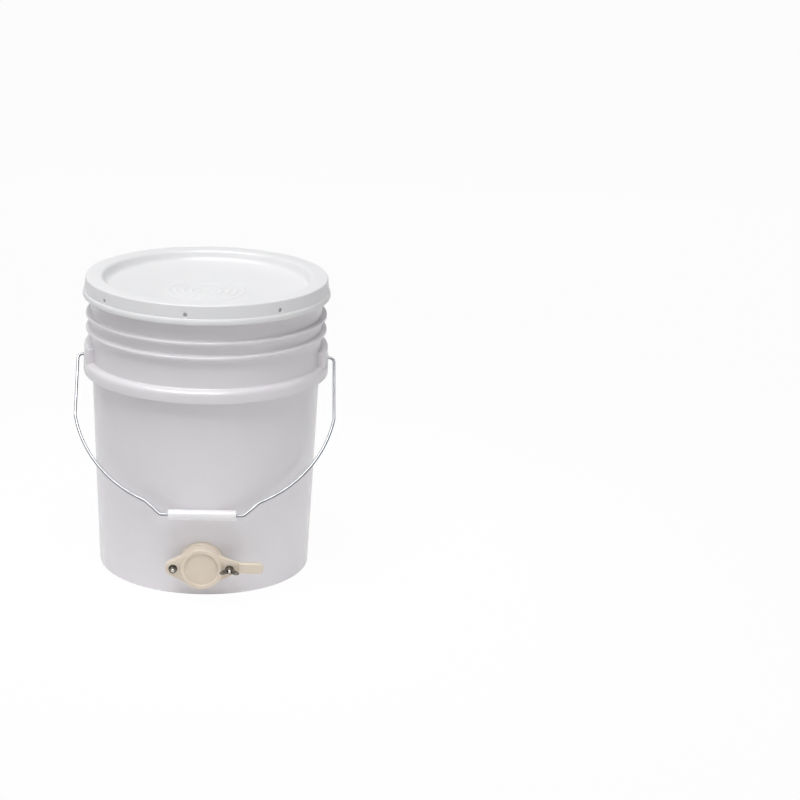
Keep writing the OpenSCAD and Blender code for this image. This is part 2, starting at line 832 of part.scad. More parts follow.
// Outline of one wing in the plane of the bolt: X away from the bolt, Y along it
module wing_outline() {
    tip = [wing_span / 2 - wing_tip_r, wing_h - wing_tip_r];
    root = hub_h / 2;
    lean = atan((tip.y - root) / tip.x);
    across = wing_tip_r * [-sin(lean), cos(lean)];
    translate(tip)
        circle(r = wing_tip_r);
    polygon([[0, root - wing_tip_r], tip - across, tip + across, [0, root + wing_tip_r]]);
}

module wing_nut() {
    color(steel)
        outward()
            translate([bolt_x, 0, clamp_out])
                difference() {
                    union() {
                        cylinder(h = hub_h, d1 = hub_d, d2 = hub_top_d);
                        for (side = [0, 180])
                            rotate([0, 0, side])
                                rotate([90, 0, 0])
                                    translate([0, 0, -wing_t / 2])
                                        linear_extrude(wing_t)
                                            wing_outline();
                    }
                    translate([0, 0, -overrun])
                        cylinder(r = bolt_r + turn_fit, h = wing_h + 2 * overrun);
                }
}

bucket_body();
lid();
lid_gasket();
bail_wire();
bail_grip();
gate_body();
gate_outer_gasket();
gate_inner_gasket();
gate_lock_nut();
gate_blade();
pivot_bolt();
pivot_washer();
pivot_spring_washer();
pivot_nut();
clamp_bolt();
clamp_washer();
wing_nut();
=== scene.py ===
"""Looks of a honey pail with a lid, a wire bail and an outlet gate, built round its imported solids."""

import math
from types import SimpleNamespace

import bmesh
import bpy
from bpy.props import FloatProperty, IntProperty, PointerProperty, StringProperty
from mathutils import Matrix, Vector


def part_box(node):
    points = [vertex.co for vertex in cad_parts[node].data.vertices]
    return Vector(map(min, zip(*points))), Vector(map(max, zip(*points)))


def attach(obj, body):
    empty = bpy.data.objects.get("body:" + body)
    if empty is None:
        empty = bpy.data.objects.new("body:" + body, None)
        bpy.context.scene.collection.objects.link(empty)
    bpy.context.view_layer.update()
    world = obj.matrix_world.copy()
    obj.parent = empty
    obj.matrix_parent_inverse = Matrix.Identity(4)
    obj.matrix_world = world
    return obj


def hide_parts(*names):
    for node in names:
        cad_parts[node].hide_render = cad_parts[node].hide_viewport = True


bl_info = {
    "name": "Honey Pail",
    "version": (1, 0, 0),
    "blender": (4, 5, 0),
    "location": "3D View > Sidebar > Honey Pail",
    "description": "Builds a honey pail with its lid, bail and outlet gate round the packed solids",
    "category": "Object",
}

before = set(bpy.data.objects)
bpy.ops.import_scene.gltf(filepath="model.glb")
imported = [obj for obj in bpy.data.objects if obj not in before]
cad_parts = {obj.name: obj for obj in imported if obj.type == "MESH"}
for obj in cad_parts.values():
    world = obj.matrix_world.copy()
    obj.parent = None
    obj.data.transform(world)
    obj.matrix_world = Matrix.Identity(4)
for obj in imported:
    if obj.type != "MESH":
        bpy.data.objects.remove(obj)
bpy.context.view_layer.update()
MM = 0.001

# Pieces are drawn in millimetres, and scaled to metres when they are finished.
GATE_LOW, GATE_HIGH = (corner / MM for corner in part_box("gate_body"))
GATE_Z = (GATE_LOW.z + GATE_HIGH.z) / 2
SEAT_OUT, SPIGOT_IN = -GATE_LOW.y, -GATE_HIGH.y
PIN_Z = 274  # the bail's hinge axis above the ground
PIN_IN = 150.5  # inner end of the bail's pins, from the pail's axis
BEAD_OUT = 3.8  # how far the rim's bead stands out from the neck
HAIR = 0.02  # keeps two flush faces apart
SIDEWAYS = Matrix.Rotation(math.pi / 2, 4, "Y")  # turns Z to X


# Sizes and colours


def size(name, description, millimetres):
    """A length that a user may change, given in millimetres and kept in metres."""
    return FloatProperty(name=name, description=description, default=millimetres * MM, min=0.0, precision=5,
                         subtype="DISTANCE", unit="LENGTH")


def tone(name, description, code):
    """A colour that a user may change, as an sRGB hex value."""
    return StringProperty(name=name, description=description, default=code, maxlen=7)


class PailSizes(bpy.types.PropertyGroup):
    """Sizes of the pail's body, with heights above the ground."""

    height: size("Height", "From the ground to the top of the rim", 375.3)
    neck: size("Neck", "Outside diameter of the straight neck", 294)
    waist_in: size("Waist step", "Step in from the neck to the wall under the collar", 1.6)
    foot_in: size("Foot step", "Step in from the neck to the wall at the ground", 11)
    wall: size("Wall", "Thickness of the moulded wall", 2.3)
    collar_low: size("Collar height", "Lower edge of the collar", 257.4)
    collar_high: size("Collar top", "Top of the collar", 273.4)
    collar_out: size("Collar overhang", "How far the collar stands out from the neck", 9.5)
    ring_low: size("Ring height", "Underside of the lower ring", 311.8)
    ring_pitch: size("Ring pitch", "Distance between the two rings", 18.7)
    ring_out: size("Ring overhang", "How far the rings stand out from the neck", 6.2)
    ear_out: size("Ear overhang", "How far the ears stand out from the neck", 8.6)
    ear_high: size("Ear top", "Top of the ears", 292.9)
    ribs: IntProperty(name="Ribs", description="Ribs under the collar", default=20, min=4, max=40)


class LidSizes(bpy.types.PropertyGroup):
    """Sizes of the lid, with heights above the ground."""

    top: size("Top", "Top of the lid", 380.8)
    hem_low: size("Hem", "Lower edge of the hem", 356.8)
    hem_high: size("Hem top", "Upper edge of the hem", 363.7)
    hem_d: size("Hem diameter", "Outside diameter of the hem", 314)
    skirt_d: size("Skirt diameter", "Outside diameter of the skirt at its top", 307)
    recess_d: size("Panel", "Diameter of the sunk panel", 264)
    panel: size("Panel height", "Edge of the sunk panel", 367.8)
    dish: size("Panel fall", "Fall of the sunk panel from its edge to its moulded rings", 8)
    vent: size("Vent", "Diameter of the holes in the skirt", 5.4)
    vent_z: size("Vent height", "Middle of the holes in the skirt", 368.96)
    vents: IntProperty(name="Vents", description="Holes round the skirt", default=8, min=1, max=24)


class BailSizes(bpy.types.PropertyGroup):
    """Sizes of the wire bail and its grip, with heights above the ground."""

    wire: size("Wire", "Diameter of the wire", 3.5)
    leg_x: size("Leg", "Distance from the middle to a leg", 163.7)
    reach: size("Reach", "From the hinge axis to the middle of the grip", 219.611)
    grip_z: size("Grip height", "Middle of the hanging grip", 110.8)
    grip_out: size("Grip reach", "Middle of the hanging grip from the pail's axis", 146.951)
    grip_l: size("Grip length", "Length of the grip", 85)
    grip_d: size("Grip diameter", "Outside diameter of the grip", 13.2)


class GateSizes(bpy.types.PropertyGroup):
    """Sizes of the outlet gate."""

    bore: size("Bore", "Bore of the outlet", 38)
    spigot: size("Spigot", "Outside diameter of the spigot", 47)
    flange: size("Flange", "Diameter of the flange", 56)
    seat: size("Seat", "Diameter of the seat and the disc", 53)
    bolt_x: size("Bolt offset", "From the outlet's axis to each bolt", 35.25)
    lug: size("Lug radius", "Radius of the lugs round the bolts", 9.5)
    blade: size("Blade", "Thickness of the blade", 4)
    rim: size("Rim height", "Height of the raised rim on the disc", 2)
    rim_w: size("Rim width", "Width of the raised rim on the disc", 5.75)
    lever_start: size("Lever start", "From the outlet's axis to the start of the lever", 46.5)
    lever_end: size("Lever end", "From the outlet's axis to the end of the lever", 77)
    lever_w: size("Lever height", "Height of the lever bar", 13.4)
    lever_t: size("Lever thickness", "Thickness of the lever bar", 7)
    lever_lift: size("Lever lift", "Middle of the lever above the outlet's axis", 2.7)


class FastenerSizes(bpy.types.PropertyGroup):
    """Sizes of the bolts and nuts."""

    bolt: size("Bolt", "Diameter of the bolts", 5)
    pitch: size("Pitch", "Pitch of the bolts' thread", 0.8)
    flats: size("Flats", "Width across the flats of the heads and the nut", 8)
    washer: size("Washer", "Diameter of the washers", 11)
    wing_span: size("Wing span", "Span of the wing nut", 24.4)
    wing_h: size("Wing height", "Height of the wings above the nut's foot", 15)


class Finishes(bpy.types.PropertyGroup):
    """Colours of the pail's materials."""

    pail: tone("Pail", "Polyethylene of the pail", "#EEEBEE")
    lid: tone("Lid", "Polyethylene of the lid", "#EFEFF0")
    grip: tone("Grip", "Polyethylene of the grip", "#FAF8FA")
    gate: tone("Gate", "Nylon of the outlet gate", "#E6D9C8")
    seal: tone("Seal", "Silicone of the seals", "#D9D0BC")
    # Set darker than zinc's own colour: painted shade, for a dark room mirrored in the wire.
    zinc: tone("Wire", "Zinc on the bail's wire", "#8E9093")
    steel: tone("Bolts", "Stainless steel of the bolts", "#CFCAC2")
    # Set darker than steel's own colour: painted shade, for a dark room mirrored in the nuts and washers.
    forged: tone("Nuts", "Dull steel of the nuts and washers", "#7D7870")
    floor: tone("Floor", "Floor under the pail", "#F4F4F4")


GROUPS = {"pail_sizes": PailSizes, "lid_sizes": LidSizes, "bail_sizes": BailSizes, "gate_sizes": GateSizes,
          "fastener_sizes": FastenerSizes, "pail_finishes": Finishes}


def sizes(context, group):
    """A group's sizes, its lengths in millimetres and its counts as they are."""
    kept = getattr(context.scene, group + "_sizes")
    values = {key: getattr(kept, key) for key in GROUPS[group + "_sizes"].__annotations__}
    return SimpleNamespace(**{k: v / MM if isinstance(v, float) else v for k, v in values.items()})


# Lines and meshes


def rounded(corners, closed=False, steps=5):
    """A line of points through corners (x, y, radius), each corner with a radius rounded."""
    line = []
    for i, (x, y, radius) in enumerate(corners):
        here = Vector((x, y))
        if radius <= 0 or (not closed and i in (0, len(corners) - 1)):
            line.append(here)
            continue
        back = (Vector(corners[i - 1][:2]) - here).normalized()
        on = (Vector(corners[(i + 1) % len(corners)][:2]) - here).normalized()
        half = back.angle(on) / 2
        middle = here + (back + on).normalized() * (radius / math.sin(half))
        first = here + back * (radius / math.tan(half)) - middle
        last = here + on * (radius / math.tan(half)) - middle
        sweep = math.pi - 2 * half
        for k in range(steps + 1):
            share = k / steps
            line.append(middle + (first * math.sin((1 - share) * sweep) + last * math.sin(share * sweep))
                        / math.sin(sweep))
    return line


def on_arc(middle, radius, start, end, steps):
    """Points on an arc, with its angles in degrees."""
    turn = [math.radians(start + (end - start) * k / steps) for k in range(steps + 1)]
    return [Vector((middle[0] + radius * math.cos(a), middle[1] + radius * math.sin(a))) for a in turn]


def circle(radius):
    """Points five degrees apart on a full circle, for a hole."""
    return on_arc((0, 0), radius, 360, 5, 71)


def turned(line, steps=144, ring=False):
    """A mesh turned about Z from a line of (radius, height) points: from axis to axis, or a closed ring."""
    shape = bmesh.new()
    rows = []
    for radius, height in line:
        if radius < 1e-4:
            rows.append([shape.verts.new((0, 0, height))])
            continue
        turns = [math.tau * k / steps for k in range(steps)]
        rows.append([shape.verts.new((radius * math.cos(a), radius * math.sin(a), height)) for a in turns])
    pairs = list(zip(rows, rows[1:])) + ([(rows[-1], rows[0])] if ring else [])
    for low, high in pairs:
        for k in range(steps):
            n = (k + 1) % steps
            corner = [low[k % len(low)], low[n % len(low)], high[n % len(high)], high[k % len(high)]]
            face = list(dict.fromkeys(corner))
            if len(face) > 2:
                shape.faces.new(face)
    return to_mesh(shape)


def ringed(corners, steps=144):
    """A closed ring turned about Z from corners (radius, height, rounding)."""
    return turned(rounded(corners, closed=True), steps, ring=True)


def to_mesh(shape):
    """Closes a bmesh: doubles merged, faces turned outwards."""
    bmesh.ops.remove_doubles(shape, verts=shape.verts, dist=1e-4)
    bmesh.ops.recalc_face_normals(shape, faces=shape.faces)
    mesh = bpy.data.meshes.new("shape")
    shape.to_mesh(mesh)
    shape.free()
    return mesh


def placed(name, data):
    """A new object with this data, linked into the scene."""
    made = bpy.data.objects.new(name, data)
    bpy.context.scene.collection.objects.link(made)
    return made


def baked(holder):
    """The mesh that an object shows, its modifiers run."""
    return bpy.data.meshes.new_from_object(holder.evaluated_get(bpy.context.evaluated_depsgraph_get()))


def plate(outlines, low, high, edge, steps=2):
    """A flat plate between two heights from closed outlines, the later ones holes, with its edges rounded."""
    curve = bpy.data.curves.new("plate", "CURVE")
    curve.dimensions = "2D"
    curve.fill_mode = "BOTH"
    for line in outlines:
        spline = curve.splines.new("POLY")
        spline.points.add(len(line) - 1)
        for point, place in zip(spline.points, line):
            point.co = (place[0], place[1], 0, 1)
        spline.use_cyclic_u = True
    curve.extrude = (high - low) / 2 - edge
    curve.bevel_depth = edge
    curve.bevel_resolution = steps
    curve.offset = -edge
    holder = placed("plate", curve)
    made = baked(holder)
    bpy.data.objects.remove(holder)
    bpy.data.curves.remove(curve)
    shape = bmesh.new()
    shape.from_mesh(made)
    bpy.data.meshes.remove(made)
    bmesh.ops.translate(shape, verts=shape.verts, vec=(0, 0, (low + high) / 2))
    return to_mesh(shape)


def joined(*meshes):
    """One mesh out of several, each left closed."""
    shape = bmesh.new()
    for mesh in meshes:
        shape.from_mesh(mesh)
        bpy.data.meshes.remove(mesh)
    made = bpy.data.meshes.new("shape")
    shape.to_mesh(made)
    shape.free()
    return made


def moved(mesh, matrix):
    """The mesh put in its place."""
    mesh.transform(matrix)
    return mesh


def outward(x=0.0, y=0.0, out=0.0):
    """Place at the outlet: X along the pail's X, Y up, Z outwards from the pail's axis."""
    turn = Matrix(((1, 0, 0), (0, 0, -1), (0, 1, 0))).to_4x4()
    return Matrix.Translation((x, -out, GATE_Z + y)) @ turn


def cut(mesh, *cutters):
    """The mesh with the cutters taken out of it."""
    holder = placed("cut", mesh)
    tools = []
    for cutter in cutters:
        tool = placed("cutter", cutter)
        step = holder.modifiers.new("cut", "BOOLEAN")
        step.operation = "DIFFERENCE"
        step.solver = "EXACT"
        step.object = tool
        tools.append(tool)
    made = baked(holder)
    for tool in tools + [holder]:
        data = tool.data
        bpy.data.objects.remove(tool)
        bpy.data.meshes.remove(data)
    return made


def finished(name, mesh, material, body, slot, *nodes, sharp=35):
    """Makes the mesh a piece that rides on a body and stands for CAD nodes."""
    mesh.transform(Matrix.Scale(MM, 4))
    mesh.name = name
    mesh.materials.clear()
    mesh.materials.append(material)
    mesh.shade_smooth()
    mesh.set_sharp_from_angle(angle=math.radians(sharp))
    piece = placed(name, mesh)
    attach(piece, body)
    if nodes:
        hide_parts(*nodes)
    return piece


def dress(node, material):
    """Gives the material to a CAD solid that stays in view."""
    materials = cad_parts[node].data.materials
    materials.clear()
    materials.append(material)


# Node trees


def add(tree, kind, inputs=(), **settings):
    """Adds one node with its settings, and sets or links its inputs."""
    made = tree.nodes.new(kind)
    for key, value in settings.items():
        setattr(made, key, value)
    for key, value in dict(inputs).items():
        if isinstance(value, bpy.types.NodeSocket):
            tree.links.new(value, made.inputs[key])
        else:
            made.inputs[key].default_value = value
    return made


def maths(tree, operation, *values):
    """The result of one sum."""
    return add(tree, "ShaderNodeMath", enumerate(values), operation=operation).outputs[0]


def spread(tree, value, low, high, first, last):
    """A value's range from low to high, drawn out to run from first to last."""
    return add(tree, "ShaderNodeMapRange", {"Value": value, "From Min": low, "From Max": high,
                                            "To Min": first, "To Max": last}).outputs[0]


def blend(tree, share, one, other):
    """A colour between two."""
    return add(tree, "ShaderNodeMix", {0: share, 6: one, 7: other}, data_type="RGBA").outputs[2]


def noise(tree, place, millimetres, detail, roughness=0.5):
    """A noise with features of this size."""
    return add(tree, "ShaderNodeTexNoise", {
        "Vector": place, "Scale": 1 / (millimetres * MM), "Detail": detail,
        "Roughness": roughness}).outputs["Fac"]


def bump(tree, height, strength, millimetres):
    """A relief of this depth."""
    return add(tree, "ShaderNodeBump", {"Height": height, "Strength": strength,
                                        "Distance": millimetres * MM}).outputs[0]


def new_tree(name, **sockets):
    """A geometry tree with inputs for numbers, given with their defaults, and for a material."""
    tree = bpy.data.node_groups.new(name, "GeometryNodeTree")
    tree.interface.new_socket("Geometry", in_out="INPUT", socket_type="NodeSocketGeometry")
    for label, default in sockets.items():
        kind = "NodeSocketInt" if isinstance(default, int) else "NodeSocketFloat"
        tree.interface.new_socket(label, in_out="INPUT", socket_type=kind).default_value = default
    tree.interface.new_socket("Material", in_out="INPUT", socket_type="NodeSocketMaterial")
    tree.interface.new_socket("Geometry", in_out="OUTPUT", socket_type="NodeSocketGeometry")
    return tree, tree.nodes.new("NodeGroupInput").outputs


def hand_out(tree, given, geometry):
    """Ends a tree: makes its copies real and gives them the material."""
    real = add(tree, "GeometryNodeRealizeInstances", {0: geometry})
    dressed = add(tree, "GeometryNodeSetMaterial", {0: real.outputs[0], "Material": given["Material"]})
    add(tree, "NodeGroupOutput", {0: dressed.outputs[0]})
    return tree


def swept(tree, given, path, profile):
    """Ends a tree with a closed tube of this profile along the path."""
    tube = add(tree, "GeometryNodeCurveToMesh", {
        "Curve": path.outputs[0], "Profile Curve": profile.outputs[0], "Fill Caps": True})
    return hand_out(tree, given, tube.outputs[0])


def grown(tree, values, seed=None):
    """Runs a geometry tree on a seed mesh with values for its named inputs, and returns the plain mesh."""
    seed = seed or bpy.data.meshes.new("seed")
    holder = placed("grown", seed)
    step = holder.modifiers.new("grow", "NODES")
    step.node_group = tree
    for item in tree.interface.items_tree:
        if item.item_type == "SOCKET" and item.in_out == "INPUT" and item.name in values:
            step[item.identifier] = values[item.name]
    made = baked(holder)
    holder.modifiers.clear()
    bpy.data.objects.remove(holder)
    bpy.data.meshes.remove(seed)
    return made


def ring_tree():
    """Copies of the seed mesh turned about Z at even steps."""
    tree, given = new_tree("Copies round the axis", Count=8, First=0.0)
    points = add(tree, "GeometryNodeMeshLine", {"Count": given["Count"], "Offset": (0, 0, 0)})
    index = add(tree, "GeometryNodeInputIndex").outputs[0]
    turn = maths(tree, "MULTIPLY_ADD", index, maths(tree, "DIVIDE", math.tau, given["Count"]), given["First"])
    angles = add(tree, "ShaderNodeCombineXYZ", {"Z": turn}).outputs[0]
    copies = add(tree, "GeometryNodeInstanceOnPoints", {"Points": points.outputs[0], "Rotation": angles,
                                                        "Instance": given["Geometry"]})
    return hand_out(tree, given, copies.outputs[0])


def wire_tree():
    """A round wire along the seed's line of edges, closed at its ends."""
    tree, given = new_tree("Wire along a line", Radius=2.0, Sides=20)
    path = add(tree, "GeometryNodeMeshToCurve", {"Mesh": given["Geometry"]})
    wire = add(tree, "GeometryNodeCurvePrimitiveCircle", {
        "Resolution": given["Sides"], "Radius": given["Radius"]})
    return swept(tree, given, path, wire)


def thread_tree():
    """A screw thread's ridge: a spiral of turns about Z, swept with a blunt triangle."""
    tree, given = new_tree("Screw thread", Radius=2.5, Pitch=0.8, Turns=4.0, Depth=0.4)
    rise = maths(tree, "MULTIPLY", given["Pitch"], given["Turns"])
    spiral = add(tree, "GeometryNodeCurveSpiral", {
        "Resolution": 40, "Rotations": given["Turns"], "Start Radius": given["Radius"],
        "End Radius": given["Radius"], "Height": rise})
    ridge = add(tree, "GeometryNodeCurvePrimitiveCircle", {"Resolution": 4, "Radius": given["Depth"]})
    return swept(tree, given, spiral, ridge)


# Materials


def linear(code):
    """An sRGB hex value as linear red, green, blue and alpha."""
    parts = [int(code[i:i + 2], 16) / 255 for i in (1, 3, 5)]
    return (*[p / 12.92 if p <= 0.04045 else ((p + 0.055) / 1.055) ** 2.4 for p in parts], 1.0)


def shade(code, share):
    """The linear colour of a hex value, darkened or lightened by a share."""
    red, green, blue, alpha = linear(code)
    return (red * share, green * share, blue * share, alpha)


def new_material(name):
    """An empty node material, its tree and the place on the object."""
    if name in bpy.data.materials:
        bpy.data.materials.remove(bpy.data.materials[name])
    material = bpy.data.materials.new(name)
    material.use_nodes = True
    tree = material.node_tree
    tree.nodes.clear()
    return material, tree, add(tree, "ShaderNodeTexCoord").outputs["Object"]


def show(tree, surface):
    """Ends a material's tree with this surface."""
    add(tree, "ShaderNodeOutputMaterial", {0: surface.outputs[0]})


def moulded_plastic(name, code, mottle, gloss, peel, depth, scatter, shift):
    """Injection-moulded plastic: faintly uneven colour from flow and regrind, a satin skin with a fine
    orange peel, duller and brighter patches where it was handled, and a little light let through the wall."""
    material, tree, place = new_material(name)
    flow = add(tree, "ShaderNodeMapping", {"Vector": place, "Scale": (1.0, 1.0, 0.35)}).outputs[0]
    clouds = noise(tree, flow, mottle, 4.0, 0.55)
    # Grains of half a millimetre are drawn two to three times as coarse, so that they show in the render.
    skin = noise(tree, place, peel, 2.0)
    handled = noise(tree, place, 35, 5.0, 0.6)
    surface = add(tree, "ShaderNodeBsdfPrincipled", {
        "Base Color": blend(tree, clouds, shade(code, 1 - shift), shade(code, 1 + shift)),
        "Roughness": spread(tree, handled, 0.3, 0.7, gloss - 0.02, gloss + 0.03),
        "Normal": bump(tree, skin, 0.2, depth), "IOR": 1.5,
        "Subsurface Weight": scatter, "Subsurface Radius": (1.0, 0.9, 0.8), "Subsurface Scale": 0.003})
    show(tree, surface)
    return material


def soft_seal(name, code):
    """Moulded silicone: matt, faintly dusty, with a fine cast texture."""
    material, tree, place = new_material(name)
    dust, grain = noise(tree, place, 6, 5.0), noise(tree, place, 0.8, 3.0)
    surface = add(tree, "ShaderNodeBsdfPrincipled", {
        "Base Color": blend(tree, dust, shade(code, 0.9), shade(code, 1.05)), "Roughness": 0.7,
        "Normal": bump(tree, grain, 0.3, 0.05), "IOR": 1.41,
        "Subsurface Weight": 0.1, "Subsurface Scale": 0.002})
    show(tree, surface)
    return material


def bright_metal(name, code, gloss, stretch, line, painted_shade_reach, wear):
    """Worked metal: fine drawn or turned lines, a little tarnish, bright worn places, and painted shade that
    darkens the colour in corners and hollows.
    """
    material, tree, place = new_material(name)
    drawn = add(tree, "ShaderNodeMapping", {"Vector": place, "Scale": stretch}).outputs[0]
    lines, tarnish = noise(tree, drawn, line, 3.0), noise(tree, place, 9, 5.0, 0.6)
    worn = blend(tree, tarnish, shade(code, 1 - wear), shade(code, 1 + wear / 2))
    # Painted shade: within this reach of a corner or hollow, the colour darkens towards 12 percent of its own.
    hollow = add(tree, "ShaderNodeAmbientOcclusion", {"Distance": painted_shade_reach * MM}, samples=8).outputs["AO"]
    surface = add(tree, "ShaderNodeBsdfPrincipled", {
        "Base Color": blend(tree, spread(tree, hollow, 0.35, 0.95, 0.0, 1.0), shade(code, 0.12), worn),
        "Roughness": spread(tree, tarnish, 0.3, 0.7, gloss - wear / 4, gloss + wear / 3),
        "Normal": bump(tree, lines, 0.08, 0.02), "Metallic": 1.0})
    show(tree, surface)
    return material


# Name, maker and values of each material, by the key of its colour.
LOOKS = {
    # Broad soft glints on an almost even wall.
    "pail": ("Moulded polyethylene, pail", moulded_plastic, {
        "mottle": 60, "gloss": 0.24, "peel": 1.4, "depth": 0.03, "scatter": 0.12, "shift": 0.015}),
    # Duller than the pail, so that its dished panel shades softly.
    "lid": ("Moulded polyethylene, lid", moulded_plastic, {
        "mottle": 45, "gloss": 0.36, "peel": 1.4, "depth": 0.012, "scatter": 0.12, "shift": 0.012}),
    # The whitest piece, rubbed smooth by hands.
    "grip": ("Moulded polyethylene, grip", moulded_plastic, {
        "mottle": 30, "gloss": 0.28, "peel": 1.2, "depth": 0.02, "scatter": 0.15, "shift": 0.012}),
    # Warmer and more clouded than the white pieces.
    "gate": ("Moulded nylon, cream", moulded_plastic, {
        "mottle": 18, "gloss": 0.32, "peel": 0.9, "depth": 0.04, "scatter": 0.15, "shift": 0.035}),
    # A matt line between two glossy pieces.
    "seal": ("Moulded silicone", soft_seal, {}),
    # A thin bright line along a grey one: the grey is the zinc's colour set darker than its own, painted shade
    # for a dark room mirrored in it, and painted shade darkens its hollows.
    "zinc": ("Bright zinc-plated wire", bright_metal, {
        "gloss": 0.32, "stretch": (1.0, 1.0, 0.15), "line": 1.5, "painted_shade_reach": 2, "wear": 0.08}),
    # Light, with turned lines and painted shade darkening the thread roots.
    "steel": ("Turned stainless steel", bright_metal, {
        "gloss": 0.24, "stretch": (1.0, 6.0, 1.0), "line": 0.5, "painted_shade_reach": 3, "wear": 0.15}),
    # Dark against the cream, with worn bright corners: its colour is set darker than steel's own, painted
    # shade for a dark room mirrored in it, and painted shade darkens its hollows.
    "forged": ("Forged steel, dull", bright_metal, {
        "gloss": 0.3, "stretch": (1.0, 1.0, 1.0), "line": 1.2, "painted_shade_reach": 6, "wear": 0.25}),
}


def look(key):
    """The material for a key, made in the scene's colour where it isn't there yet."""
    name, make, values = LOOKS[key]
    code = getattr(bpy.context.scene.pail_finishes, key)
    return bpy.data.materials.get(name) or make(name, code, **values)


# Pieces


class HONEY_OT_pail(bpy.types.Operator):
    """Moulds the pail: tapered wall, rings, rim, hollow collar with its ribs, and the two ears"""

    bl_idname = "honey.pail"
    bl_label = "Pail"

    def execute(self, context):
        s, gate = sizes(context, "pail"), sizes(context, "gate")
        white = look("pail")
        body = turned(rounded(self.outline(s)), steps=216)
        hole, start, end = gate.spigot / 2 + 0.2, 100, 146
        drill = turned([(0, start), (hole, start), (hole, end), (0, end)], 96)
        body = cut(body, moved(drill, outward()))
        ears = [self.ear(s, turn) for turn in (0, math.pi)]
        first = math.pi / s.ribs
        ribs = grown(ring_tree(), {"Count": s.ribs, "First": first, "Material": white}, self.rib(s))
        finished("pail_moulding", joined(body, ribs, *ears), white, "bucket", "pail_plastic", "bucket_body")
        return {"FINISHED"}

    @staticmethod
    def outline(s):
        """Half section: underside, foot, wall, hollow collar, neck with its rings, beaded rim and inside."""
        neck = s.neck / 2
        waist, foot = neck - s.waist_in, neck - s.foot_in
        collar, inner, bead = neck + s.collar_out, neck - s.wall, neck + BEAD_OUT
        skirt, roof = collar - 2.5, s.collar_high - 2.5
        shoulder, ring_h, ring = s.collar_low + 8, 4, neck + s.ring_out
        under, floor, stand = 4, 6.8, foot - 2.4
        # The underside has a dimple in the middle, then two flat rings.
        dimple, flat = under + 0.4, under - 0.7
        corners = [(0, dimple, 0), (9, dimple, 0.4), (9.6, under, 0.3)]
        for r in (62, 103):
            corners += [(r, under, 0.3), (r + 0.6, flat, 0.3), (r + 3, flat, 0.3), (r + 3.6, under, 0.3)]
        corners += [
            (stand - 5, under, 0.8), (stand - 4.4, 0, 1), (foot + 0.1, 0, 2.4), (waist, s.collar_low, 1.5),
            (neck, shoulder, 2), (neck, roof, 1), (skirt, roof, 4), (skirt, s.collar_low, 0.8),
            (collar, s.collar_low, 0.8), (collar, s.collar_high, 6.5), (neck, s.collar_high, 2)]
        for low in (s.ring_low, s.ring_low + s.ring_pitch):
            corners += [(neck, low, 0.5), (ring, low, 0.9), (ring, low + ring_h, 2), (neck, low + ring_h, 1.8)]
        return corners + [
            (neck, s.height - 10.3, 1), (bead, s.height - 6.5, 1), (bead, s.height, 1.4),
            (inner, s.height, 1.2), (inner, shoulder, 4), (waist - s.wall, s.collar_low, 4),
            (foot - s.wall + 0.2, floor, 6), (0, floor, 0)]

    @staticmethod
    def rib(s):
        """One upright rib in the collar's hollow."""
        back, front = s.neck / 2 - s.waist_in - 1, s.neck / 2 + s.collar_out - 1.2
        low, high, half = s.collar_low + 3, s.collar_high - 1.2, 0.9
        line = rounded([(back, low, 0), (front, low, 0), (front, high, 5), (back, high, 0)], closed=True)
        return moved(plate([line], -half, half, 0.2, 1), Matrix.Rotation(math.pi / 2, 4, "X"))

    @staticmethod
    def ear(s, turn):
        """One ear: a soft-edged block bent round the neck, with a low bored boss for the bail's pin."""
        neck = s.neck / 2
        ear, back = neck + s.ear_out, neck - 1
        half, slices = math.radians(16) * ear, 15
        low, high = s.collar_high - 4, s.ear_high
        shape = bmesh.new()
        bmesh.ops.create_cube(shape, size=1.0)
        for v in shape.verts:
            v.co = (v.co.x * 2 * half, (low + high) / 2 + v.co.y * (high - low),
                    (ear + back) / 2 + v.co.z * (ear - back))
        front = [e for e in shape.edges if any(v.co.z > neck + 1 for v in e.verts)]
        bmesh.ops.bevel(shape, geom=front, offset=3, segments=5, profile=0.5, affect="EDGES")
        for k in range(1 - slices, slices):
            bmesh.ops.bisect_plane(shape, geom=shape.verts[:] + shape.edges[:] + shape.faces[:],
                                   plane_co=(k * half / slices, 0, 0), plane_no=(1, 0, 0))
        for v in shape.verts:
            along, up, out = v.co
            v.co = (out * math.cos(along / ear), out * math.sin(along / ear), up)
        boss = turned(rounded([(0, 0, 0), (7.5, 0, 0), (6.6, 3.4, 0.4), (4.4, 3.4, 0.4), (3.6, 2.5, 0.3),
                               (0, 2.5, 0)]), 48)
        boss = moved(boss, Matrix.Translation((ear - 2.8, 0, PIN_Z)) @ SIDEWAYS)

        def hole():
            drill = turned([(0, 0), (2.2, 0), (2.2, 12), (0, 12)], 32)
            return moved(drill, Matrix.Translation((neck + 3.5, 0, PIN_Z)) @ SIDEWAYS)

        return moved(joined(cut(to_mesh(shape), hole()), cut(boss, hole())), Matrix.Rotation(turn, 4, "Z"))


